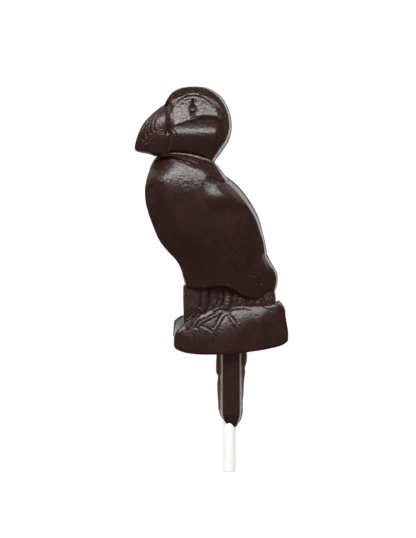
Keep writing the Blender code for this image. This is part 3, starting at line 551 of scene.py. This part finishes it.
# Fine lines of the feet: bright ridges and the dark grooves between the toes
FOOT_LINES = [
    (smooth_line([(-3.4, -10.5), (-5.3, -12.8), (-6.9, -14.6), (-8.4, -16.5)]), 0.35, 0.12),
    (smooth_line([(-3.6, -10.1), (-5.3, -11.9), (-7.4, -13.7), (-9.0, -14.6)]), 0.45, -0.14),
    (smooth_line([(-5.4, -10.9), (-6.9, -12.6), (-8.3, -13.6)]), 0.33, 0.12),
    (smooth_line([(0.1, -11.3), (-2.3, -12.6), (-4.4, -13.5), (-5.3, -14.5), (-5.7, -15.7)]), 0.33, 0.1),
    (smooth_line([(1.6, -10.5), (0.1, -11.6), (-2.3, -13.0), (-4.1, -13.8), (-5.0, -14.8), (-5.3, -16.0),
                  (-4.7, -16.3)]), 0.5, -0.16),
    (smooth_line([(1.3, -12.6), (-0.5, -13.5), (-2.6, -14.5), (-3.5, -15.3)]), 0.47, -0.15),
    (smooth_line([(1.2, -13.3), (-0.5, -14.1), (-3.1, -15.2)]), 0.3, 0.05),
    (smooth_line([(-3.4, -15.6), (-1.4, -16.3), (0.0, -17.3)]), (0.4, 0.65), -0.16),
    (smooth_line([(3.5, -11.1), (2.3, -12.6), (1.4, -14.4), (0.5, -16.2)]), 0.5, -0.16),
    (smooth_line([(4.9, -12.0), (4.2, -13.1), (3.5, -14.3)]), 0.45, -0.14),
    (smooth_line([(5.7, -11.3), (6.8, -12.3), (7.7, -13.5), (8.3, -14.6)]), (0.6, 0.35), -0.17),
    (smooth_line([(0.4, -10.5), (2.2, -9.8)]), 0.3, 0.18),
    (smooth_line([(6.2, -10.7), (6.9, -9.8), (8.7, -9.5), (10.5, -9.3)]), 0.3, 0.16),
    (smooth_line([(6.6, -10.5), (9.0, -10.1), (11.4, -9.9), (13.0, -10.4)]), 0.3, -0.13),
    (smooth_line([(17.2, -9.5), (18.7, -9.9), (20.1, -10.5)]), 0.28, -0.18),
]

# Air bubbles and beads: (place, radius, rise)
SPOTS = [
    ((-21.7, 44.7), 0.5, 0.4), ((-20.7, 45.0), 0.45, 0.4), ((-21.8, 47.6), 0.35, 0.25),
    ((0.5, 33.1), 0.3, 0.25), ((6.7, 9.1), 0.35, -0.25), ((8.5, 8.4), 0.3, -0.25),
    ((15.7, 1.4), 0.35, 0.25), ((17.4, -0.5), 0.35, 0.25), ((16.2, 0.2), 0.3, -0.25),
    ((-8.8, -5.8), 0.45, -0.6), ((0.7, -17.5), 0.35, 0.3), ((14.7, -12.1), 0.4, -0.35),
    ((16.1, -20.7), 0.3, 0.25), ((9.0, -14.8), 0.35, 0.2),
]
SPOT_SIDES = 8


def repeated_lines():
    """The rings of the right leg and the short feathers above the rock."""
    lines = []
    for k in range(RUNGS):
        y = RUNG_TOP - RUNG_PITCH * k
        lines.append((smooth_line([(RUNG_X[0], y), (RUNG_X[1], y)]), RUNG_HALF, RUNG_RISE))
    for k, x in enumerate(np.arange(FEATHER_LEFT, FEATHER_RIGHT, FEATHER_PITCH)):
        sway = FEATHER_SWAY * math.sin(FEATHER_SWAY_TURN * k)
        top = FEATHER_TOP + FEATHER_UNEVEN * math.sin(FEATHER_UNEVEN_TURN * k)
        middle = (top + FEATHER_FOOT) / 2
        feather = smooth_line([(x, top), (x + sway, middle), (x, FEATHER_FOOT)])
        lines.append((feather, FEATHER_HALF, FEATHER_RISE))
    return lines


FINE_LINES = HEAD_LINES + COLLAR_LINES + BODY_LINES + LEG_FINE + FOOT_LINES + repeated_lines()
FINE_LINES += [(smooth_line(groove), BILL_CREASE_HALF, BILL_CREASE_RISE) for groove in BILL_GROOVES]

# Grain of the set chocolate: slow swells, fine pebbles, and rough patches as (centre, radii, height)
SWELL_SIZE, SWELL_HIGH, SWELL_SEED = 5.0, 0.035, 0.5
PEBBLE_SIZE, PEBBLE_HIGH, PEBBLE_SEED = 0.75, 0.009, 7.5
ROUGH_SIZE, ROUGH_SEED = 0.9, 3.5
ROUGH_PATCHES = [
    ((-6.3, -6.5), (2.6, 4.6), 0.035), ((1.3, -6.4), (2.0, 3.4), 0.05), ((13.5, -7.3), (7.0, 2.0), 0.03),
    ((3.6, 28.6), (4.0, 1.6), 0.08), ((-6.5, 57.0), (8.5, 6.5), 0.085), ((-7.0, 32.0), (9.0, 5.5), 0.05),
]

# Fine lines are creased along their middle and fade out towards their edges
CREASED = 1.6


def halves_along(line, half):
    """The half width at each point of a line, from one value or from those at its start and end."""
    return np.interp(np.linspace(0, 1, len(line)), (0, 1), np.broadcast_to(half, 2))


def line_share(points, line, half):
    """How much of a line's rise each point takes: one on the line, falling to nothing at its half width."""
    halves = halves_along(line, half)
    low, high = line.min(0) - halves.max(), line.max(0) + halves.max()
    near = np.flatnonzero(((points >= low) & (points <= high)).all(1))
    share = np.zeros(len(points))
    gaps = np.linalg.norm(points[near][:, None] - line[None], axis=2) / halves
    share[near] = np.clip(1 - gaps.min(1, initial=np.inf), 0, 1) ** CREASED
    return share


def noise_at(points, size, seed):
    """Smooth noise between about minus one and one, with features of the given size."""
    return np.array([noise.noise((x / size, y / size, seed)) for x, y in points])


def grain(points):
    """The uneven skin of the cast."""
    swell = SWELL_HIGH * noise_at(points, SWELL_SIZE, SWELL_SEED)
    pebbles = PEBBLE_HIGH * noise_at(points, PEBBLE_SIZE, PEBBLE_SEED)
    rough = np.zeros(len(points))
    for centre, radii, high in ROUGH_PATCHES:
        away = np.linalg.norm((points - centre) / radii, axis=1)
        rough = np.maximum(rough, high * np.clip(2 - 2 * away, 0, 1))
    return swell + pebbles + rough * noise_at(points, ROUGH_SIZE, ROUGH_SEED)


def fine_height(points):
    """The relief with its fine lines, bubbles and grain."""
    z = relief_height(points)
    cast = z > LINED_ABOVE
    for line, half, rise in FINE_LINES:
        z += np.where(cast, rise * line_share(points, line, half), 0)
    for place, radius, rise in SPOTS:
        away = np.linalg.norm(points - place, axis=1) / radius
        z += np.where(cast, rise * np.sqrt(np.clip(1 - away**2, 0, 1)), 0)
    return z + np.where(z > GRAINED_ABOVE, grain(points), 0)


def guides():
    """The lines that become edges of the mesh: rims, feet, drawn and fine lines, and rings of the spots."""
    lines = [closed(c.rim) for c in CUSHIONS] + [closed(c.foot) for c in CUSHIONS]
    lines += [line for line, _, _ in LINES + FINE_LINES]
    for place, radius, _ in SPOTS:
        ring = arc(place, radius, 0, 360 - 360 / SPOT_SIDES, radius * math.tau / SPOT_SIDES)
        lines.append(closed(ring))
    return lines


def flank_points(lines):
    """Points on both flanks of each fine line, so that the mesh holds its slopes."""
    found = []
    for line, half, _ in lines:
        halves = halves_along(line, half)
        along = np.gradient(line, axis=0)
        side = np.column_stack([along[:, 1], -along[:, 0]])
        side /= np.linalg.norm(side, axis=1)[:, None]
        for share in FLANK_SHARES:
            found.append(line + side * (share * halves)[:, None])
    return np.vstack(found)


def scattered_grid(step, taken):
    """A triangular grid over the cast, thinned out next to the points that are taken already."""
    low = np.min([c.foot.min(0) for c in CUSHIONS], axis=0)
    high = np.max([c.foot.max(0) for c in CUSHIONS], axis=0)
    rows = np.arange(low[1], high[1], step * math.sqrt(3) / 2)
    columns = np.arange(low[0], high[0], step)
    grid = np.array([(x + step / 2 * (k % 2), y) for k, y in enumerate(rows) for x in columns])
    grid = grid[np.any([inside(grid, c.foot) for c in CUSHIONS], axis=0)]
    tree = KDTree(len(taken))
    for k, (x, y) in enumerate(taken):
        tree.insert((x, y, 0), k)
    tree.balance()
    return np.array([g for g in grid if tree.find((g[0], g[1], 0))[2] > GRID_CLEAR * step])


def relief_mesh(step):
    """The relief's points and triangles in plan."""
    points, edges = [], []
    for line in guides():
        first = len(points)
        points += [Vector(p) for p in line]
        edges += [(k, k + 1) for k in range(first, first + len(line) - 1)]
    flanks = flank_points(LINES + FINE_LINES)
    flanks = flanks[np.any([inside(flanks, c.rim) for c in CUSHIONS], axis=0)]
    points += [Vector(p) for p in flanks]
    points += [Vector(p) for p in scattered_grid(step, [tuple(p) for p in points])]
    flat, _, faces, _, _, _ = delaunay_2d_cdt(points, edges, [], 0, MERGE)
    flat = np.array([tuple(v) for v in flat])
    faces = np.array([f for f in faces if len(f) == 3])
    middle = flat[faces].mean(1)
    faces = faces[np.any([inside(middle, c.foot) for c in CUSHIONS], axis=0)]
    return flat, faces


def in_frame(x, y, z):
    """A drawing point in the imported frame, kept inside the solids' box."""
    place = ORIGIN + Vector((x, y, z)) * MM
    return Vector([min(max(p, low), high) for p, low, high in zip(place, CAD_LOW, CAD_HIGH)])


def cast_mesh():
    """The closed cast: the fine relief, with its edge on the flat back."""
    flat, faces = relief_mesh(STEP)
    z = np.maximum(fine_height(flat), EDGE_HIGH)
    bm = bmesh.new()
    vertices = [bm.verts.new(in_frame(x, y, h)) for (x, y), h in zip(flat, z)]
    for a, b, c in faces:
        bm.faces.new((vertices[a], vertices[b], vertices[c]))
    bmesh.ops.delete(bm, geom=[v for v in bm.verts if not v.link_faces], context="VERTS")
    bm.normal_update()
    if sum(f.normal.z for f in bm.faces) < 0:
        bmesh.ops.reverse_faces(bm, faces=bm.faces[:])
    edge = [e for e in bm.edges if len(e.link_faces) == 1]
    for v in {v for e in edge for v in e.verts}:
        v.co.z = 0.0
    back = bmesh.ops.contextual_create(bm, geom=edge)["faces"]
    bmesh.ops.triangulate(bm, faces=back)
    bmesh.ops.recalc_face_normals(bm, faces=bm.faces[:])
    mesh = bpy.data.meshes.new("cast_chocolate")
    bm.to_mesh(mesh)
    bm.free()
    return mesh


def shown(name, mesh):
    """A new object in the scene."""
    obj = bpy.data.objects.new(name, mesh)
    bpy.context.scene.collection.objects.link(obj)
    return obj


def bored(obj):
    """The object with the stick's bore cut out of it."""
    bm = bmesh.new()
    reach = STICK_LENGTH + 2 * BORE_PAST
    bmesh.ops.create_cone(bm, cap_ends=True, segments=BORE_SIDES, radius1=(STICK_RADIUS + BORE_LOOSE) * MM,
                          radius2=(STICK_RADIUS + BORE_LOOSE) * MM, depth=reach * MM)
    bmesh.ops.rotate(bm, verts=bm.verts, matrix=Matrix.Rotation(math.radians(-90), 3, "X"))
    middle = Vector((STICK_X, STICK_END_Y + STICK_LENGTH / 2, STICK_AXIS_Z)) * MM
    bmesh.ops.translate(bm, verts=bm.verts, vec=ORIGIN + middle)
    mesh = bpy.data.meshes.new("bore")
    bm.to_mesh(mesh)
    bm.free()
    cutter = shown("bore", mesh)
    cut = obj.modifiers.new("bore", "BOOLEAN")
    cut.object = cutter
    cut.solver = "EXACT"
    done = bpy.data.meshes.new_from_object(obj.evaluated_get(bpy.context.evaluated_depsgraph_get()))
    obj.modifiers.clear()
    obj.data = done
    bpy.data.objects.remove(cutter)
    return obj


def cast_piece():
    """The chocolate: relief, walls and flat back, each with its own finish."""
    obj = bored(shown("cast_chocolate", cast_mesh()))
    mesh = obj.data
    mesh.materials.clear()
    for finish in (relief_chocolate(), wall_chocolate(), back_chocolate(), flash_chocolate()):
        mesh.materials.append(finish)
    height = np.array([v.co.z for v in mesh.vertices]) / MM
    flash_y = ORIGIN.y + FLASH_TOP_Y * MM
    for face in mesh.polygons:
        low, high = height[list(face.vertices)].min(), height[list(face.vertices)].max()
        if face.normal.z < BACK_NORMAL:
            face.material_index = BACK_SLOT
        elif high < FLASH_HIGH + FLASH_SLACK and face.center.y < flash_y:
            face.material_index = FLASH_SLOT
        elif face.normal.z < WALL_NORMAL and low < WALL_LOW:
            face.material_index = WALL_SLOT
        else:
            face.material_index = RELIEF_SLOT
    mesh.shade_smooth()
    mesh.set_sharp_from_angle(angle=math.radians(SHARP_ANGLE))
    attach(obj, "root")
    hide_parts("chocolate_bird")
    return obj


# Stick: a rolled sheet of paper, with its seam along the underside and its spiral on the cut ends
STICK_TURNS, STICK_RING, STICK_SEAM = 96, 0.5, 0.05
SEAM_ANGLE = math.radians(-65)
CUT_ROUND, CUT_STEPS = 0.18, 4
ROLL_PITCH, ROLL_DEEP, ROLL_RINGS = 0.3, 0.07, 20


def stick_rings():
    """The stick's rings from end to end: (place along it, share of the radius, whether on a cut end)."""
    rings = []
    flat = 1 - CUT_ROUND / STICK_RADIUS
    for end, outward in ((0.0, -1), (STICK_LENGTH, 1)):
        face = [(end, k / ROLL_RINGS * flat, True) for k in range(1, ROLL_RINGS + 1)]
        bend = []
        for k in range(1, CUT_STEPS + 1):
            turn = math.pi / 2 * k / CUT_STEPS
            inward = CUT_ROUND * (1 - math.sin(turn)) / STICK_RADIUS
            bend.append((end - outward * CUT_ROUND * (1 - math.cos(turn)), 1 - inward, False))
        rings.append(face + bend)
    along = np.arange(CUT_ROUND + STICK_RING, STICK_LENGTH - CUT_ROUND, STICK_RING)
    return rings[0] + [(y, 1.0, False) for y in along] + rings[1][::-1]


def stick_piece():
    """The paper stick, a little uneven along its length."""
    bm = bmesh.new()
    rows = []
    for y, share, cut in stick_rings():
        row = []
        for k in range(STICK_TURNS):
            turn = math.tau * k / STICK_TURNS
            rolled = ((turn - SEAM_ANGLE) / math.tau) % 1
            radius = (STICK_RADIUS - STICK_SEAM * rolled) * share
            groove = 0.0
            if cut:
                across = (radius / ROLL_PITCH + rolled) % 1
                groove = ROLL_DEEP * (1 - abs(2 * across - 1)) ** 2
            inward = groove if y < STICK_LENGTH / 2 else -groove
            row.append(bm.verts.new(in_frame(STICK_X + math.cos(turn) * radius, STICK_END_Y + y + inward,
                                             STICK_AXIS_Z + math.sin(turn) * radius)))
        rows.append(row)
    for low, high in zip(rows[:-1], rows[1:]):
        for k in range(STICK_TURNS):
            j = (k + 1) % STICK_TURNS
            bm.faces.new((low[k], high[k], high[j], low[j]))
    for row in (rows[0], rows[-1]):
        bm.faces.new(row)
    bmesh.ops.recalc_face_normals(bm, faces=bm.faces[:])
    mesh = bpy.data.meshes.new("rolled_stick")
    bm.to_mesh(mesh)
    bm.free()
    mesh.materials.append(rolled_paper())
    mesh.shade_smooth()
    mesh.set_sharp_from_angle(angle=math.radians(STICK_SHARP))
    obj = shown("rolled_stick", mesh)
    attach(obj, "root")
    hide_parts("paper_stick")
    return obj


# Colours, as linear red, green and blue
COCOA_DARK = (0.0200, 0.0067, 0.0053)
COCOA_WARM = (0.0265, 0.0088, 0.0056)
COCOA_DULL = (0.0235, 0.0088, 0.0080)
COCOA_THIN = (0.21, 0.062, 0.021)
PAPER_WHITE = (0.93, 0.928, 0.905)
PAPER_CREAM = (0.89, 0.882, 0.85)

# Chocolate: sizes of its streaks, dull spots, gloss and grain, and how deep the grain is
STREAK_SIZE, STREAK_STRETCH, STREAK_RANGE = 9.0, (1, 2, 1), (0.4, 0.62)
DULL_SIZE, DULL_RANGE, DULL_MOST = 3.0, (0.45, 0.75), 0.8
GLOSS_SIZE, GLOSS_RANGE, GLOSS_LESS, GLOSS_MORE = 1.3, (0.3, 0.7), 0.06, 0.08
PIT_SIZE, PIT_DEEP = 0.62, 0.3
SKIN_SIZE, SKIN_DEEP, SKIN_SHARE = 0.25, 0.1, 0.6

# Roughness and grain of each finish of the chocolate
RELIEF_ROUGH, RELIEF_GRAIN = 0.27, 0.36
WALL_ROUGH, WALL_GRAIN, WALL_STRETCH, WALL_GLOSS = 0.56, 0.5, (1, 1, 6), 0.28
BACK_ROUGH, BACK_GRAIN = 0.62, 0.9
FLASH_ROUGH, FLASH_GRAIN = 0.4, 0.45
FLASH_CLEAR, FLASH_DENSE, FLASH_LEAST = 0.25, 0.8, 0.25

# Paper: its fibres and its tint, both drawn out along the stick
PAPER_ROUGH, PAPER_ROUGHNESSES, PAPER_RANGE = 0.6, (0.52, 0.7), (0.3, 0.7)
FIBRE_SIZE, FIBRE_STRETCH, FIBRE_STRENGTH, FIBRE_DEEP = 0.5, (1, 12, 1), 0.25, 0.06
TINT_SIZE, TINT_STRETCH, TINT_RANGE = 4.0, (1, 4, 1), (0.35, 0.7)


def finish_of(name, roughness):
    """A new material: its node tree and its shader."""
    made = bpy.data.materials.new(name)
    made.use_nodes = True
    tree = made.node_tree
    shader = tree.nodes["Principled BSDF"]
    shader.inputs["Roughness"].default_value = roughness
    return made, tree, shader


def noise_node(tree, size, detail=2.0, stretch=(1, 1, 1)):
    """Noise with features of the given size in millimetres, stretched along the axes."""
    place = tree.nodes.new("ShaderNodeTexCoord")
    scaled = tree.nodes.new("ShaderNodeMapping")
    scaled.inputs["Scale"].default_value = [1 / s for s in stretch]
    cloud = tree.nodes.new("ShaderNodeTexNoise")
    cloud.inputs["Scale"].default_value = 1 / (size * MM)
    cloud.inputs["Detail"].default_value = detail
    tree.links.new(place.outputs["Object"], scaled.inputs["Vector"])
    tree.links.new(scaled.outputs["Vector"], cloud.inputs["Vector"])
    return cloud.outputs["Fac"]


def spread(tree, value, old_range, new_range):
    """The value moved from one range to another."""
    node = tree.nodes.new("ShaderNodeMapRange")
    tree.links.new(value, node.inputs["Value"])
    names = ("From Min", "From Max", "To Min", "To Max")
    for name, number in zip(names, (*old_range, *new_range)):
        node.inputs[name].default_value = number
    return node.outputs["Result"]


def blend_colours(tree, share, first, second):
    """A colour between two others, each a colour or an output."""
    node = tree.nodes.new("ShaderNodeMix")
    node.data_type = "RGBA"
    tree.links.new(share, node.inputs["Factor"])
    for name, colour in (("A", first), ("B", second)):
        socket = [s for s in node.inputs if s.name == name and s.type == "RGBA"][0]
        if isinstance(colour, tuple):
            socket.default_value = (*colour, 1)
        else:
            tree.links.new(colour, socket)
    return [s for s in node.outputs if s.type == "RGBA"][0]


def bumped(tree, height, strength, deep, under=None):
    """A bump of the given depth in millimetres, on top of another."""
    node = tree.nodes.new("ShaderNodeBump")
    node.inputs["Strength"].default_value = strength
    node.inputs["Distance"].default_value = deep * MM
    tree.links.new(height, node.inputs["Height"])
    if under:
        tree.links.new(under, node.inputs["Normal"])
    return node.outputs["Normal"]


def chocolate(name, roughness, grain_strength, stretch=(1, 1, 1)):
    """Dark chocolate: streaks of warmer and duller brown, an uneven gloss and a fine grain."""
    made, tree, shader = finish_of(name, roughness)
    warm = spread(tree, noise_node(tree, STREAK_SIZE, 3, STREAK_STRETCH), STREAK_RANGE, (0, 1))
    dull = spread(tree, noise_node(tree, DULL_SIZE, 2), DULL_RANGE, (0, DULL_MOST))
    brown = blend_colours(tree, warm, COCOA_DARK, COCOA_WARM)
    brown = blend_colours(tree, dull, brown, COCOA_DULL)
    tree.links.new(brown, shader.inputs["Base Color"])
    roughnesses = (roughness - GLOSS_LESS, roughness + GLOSS_MORE)
    gloss = spread(tree, noise_node(tree, GLOSS_SIZE, 3), GLOSS_RANGE, roughnesses)
    tree.links.new(gloss, shader.inputs["Roughness"])
    pits = bumped(tree, noise_node(tree, PIT_SIZE, 3, stretch), grain_strength, PIT_DEEP)
    skin_noise = noise_node(tree, SKIN_SIZE, 1, stretch)
    skin = bumped(tree, skin_noise, SKIN_SHARE * grain_strength, SKIN_DEEP, pits)
    tree.links.new(skin, shader.inputs["Normal"])
    return made, tree, shader


def relief_chocolate():
    """The moulded side, glossy from the mould."""
    return chocolate("relief_chocolate", RELIEF_ROUGH, RELIEF_GRAIN)[0]


def wall_chocolate():
    """The walls, drawn up and down by the mould as the cast came out."""
    made, _, shader = chocolate("wall_chocolate", WALL_ROUGH, WALL_GRAIN, WALL_STRETCH)
    shader.inputs["Specular IOR Level"].default_value = WALL_GLOSS
    return made


def back_chocolate():
    """The flat back, which set in the open air and is dull."""
    return chocolate("back_chocolate", BACK_ROUGH, BACK_GRAIN)[0]


def flash_chocolate():
    """The flash, a warmer brown where it is thinnest, as light shines through it there."""
    made, tree, shader = chocolate("flash_chocolate", FLASH_ROUGH, FLASH_GRAIN)
    place = tree.nodes.new("ShaderNodeTexCoord")
    parts = tree.nodes.new("ShaderNodeSeparateXYZ")
    tree.links.new(place.outputs["Object"], parts.inputs["Vector"])
    thin = spread(tree, parts.outputs["Z"], (FLASH_CLEAR * MM, FLASH_DENSE * MM), (1, FLASH_LEAST))
    brown = shader.inputs["Base Color"].links[0].from_socket
    tree.links.new(blend_colours(tree, thin, brown, COCOA_THIN), shader.inputs["Base Color"])
    return made


def rolled_paper():
    """White paper with fibres along the stick."""
    made, tree, shader = finish_of("rolled_paper", PAPER_ROUGH)
    fibres = noise_node(tree, FIBRE_SIZE, 4, FIBRE_STRETCH)
    tint = spread(tree, noise_node(tree, TINT_SIZE, 3, TINT_STRETCH), TINT_RANGE, (0, 1))
    tree.links.new(blend_colours(tree, tint, PAPER_WHITE, PAPER_CREAM), shader.inputs["Base Color"])
    tree.links.new(spread(tree, fibres, PAPER_RANGE, PAPER_ROUGHNESSES), shader.inputs["Roughness"])
    tree.links.new(bumped(tree, fibres, FIBRE_STRENGTH, FIBRE_DEEP), shader.inputs["Normal"])
    return made


# Camera: straight above, where the photograph's frame is 416 by 538 pixels of a third of a millimetre
FRAME_LONG, CAMERA_FAR = 538 / 3, 900.0
CAMERA_SPOT = (-1.27, 3.4)
MIDDLE_HIGH = 4.0
CAMERA_CLIP = 100

# Lights: soft boxes over the head, brightest towards the left, and an even fill that adds no gloss
KEY_TILT, KEY_FAR, KEY_STAGGER = math.radians(49), 0.9, 0.02
KEY_BOXES = [
    ("key", -0.12, (1.2, 0.40), 2.4),
    ("core", -0.06, (0.78, 0.22), 8.5),
    ("hot", -0.30, (0.28, 0.20), 9.0),
]
FILL_SIZE, FILL_FAR, FILL_RADIANCE = 1.6, 1.5, 1.6
WORLD_LIGHT = 0.1

# Floor: pale and bright all over
FLOOR_SIZE, FLOOR_DOWN, FLOOR_GLOW, FLOOR_GREY = 3.0, 0.0002, 0.95, 0.15
FLOOR_ROUGH, FLOOR_SHINE = 0.9, 0.1


def camera():
    """A long lens straight above the lollipop."""
    lens = bpy.data.cameras.new("camera")
    lens.lens = lens.sensor_width * (CAMERA_FAR - MIDDLE_HIGH) / FRAME_LONG
    lens.clip_end = CAMERA_CLIP
    obj = shown("camera", lens)
    obj.location = ORIGIN + Vector((*CAMERA_SPOT, CAMERA_FAR)) * MM
    bpy.context.scene.camera = obj


def floor():
    """A white floor without shadows, just under the lollipop."""
    half = FLOOR_SIZE / 2
    mesh = bpy.data.meshes.new("floor")
    corners = [(-half, -half), (half, -half), (half, half), (-half, half)]
    mesh.from_pydata([(x, y, -FLOOR_DOWN) for x, y in corners], [], [(0, 1, 2, 3)])
    made, _, shader = finish_of("white_floor", FLOOR_ROUGH)
    shader.inputs["Base Color"].default_value = (FLOOR_GREY, FLOOR_GREY, FLOOR_GREY, 1)
    shader.inputs["Specular IOR Level"].default_value = FLOOR_SHINE
    shader.inputs["Emission Color"].default_value = (1, 1, 1, 1)
    shader.inputs["Emission Strength"].default_value = FLOOR_GLOW
    mesh.materials.append(made)
    shown("floor", mesh)


def soft_box(name, place, target, size, radiance, glossy=True):
    """A rectangular light that faces its target."""
    light = bpy.data.lights.new(name, "AREA")
    light.shape = "RECTANGLE"
    light.size, light.size_y = size
    light.energy = radiance * math.pi * light.size * light.size_y
    obj = shown(name, light)
    obj.location = place
    obj.rotation_euler = (Vector(target) - Vector(place)).to_track_quat("-Z", "Y").to_euler()
    obj.visible_camera = False
    obj.visible_glossy = glossy


def lights():
    """Plain soft studio light."""
    for k, (name, x, size, radiance) in enumerate(KEY_BOXES):
        far = KEY_FAR * (1 - KEY_STAGGER * k)
        place = (x, far * math.sin(KEY_TILT), far * math.cos(KEY_TILT))
        soft_box(name, place, (x, 0, 0), size, radiance)
    soft_box("fill", (0, 0, FILL_FAR), (0, 0, 0), (FILL_SIZE, FILL_SIZE), FILL_RADIANCE, glossy=False)
    world = bpy.data.worlds.new("world")
    world.use_nodes = True
    sky = world.node_tree.nodes["Background"]
    sky.inputs["Color"].default_value = (1, 1, 1, 1)
    sky.inputs["Strength"].default_value = WORLD_LIGHT
    bpy.context.scene.world = world


cast_piece()
stick_piece()
floor()
camera()
lights()
bpy.context.scene.view_settings.view_transform = "Standard"
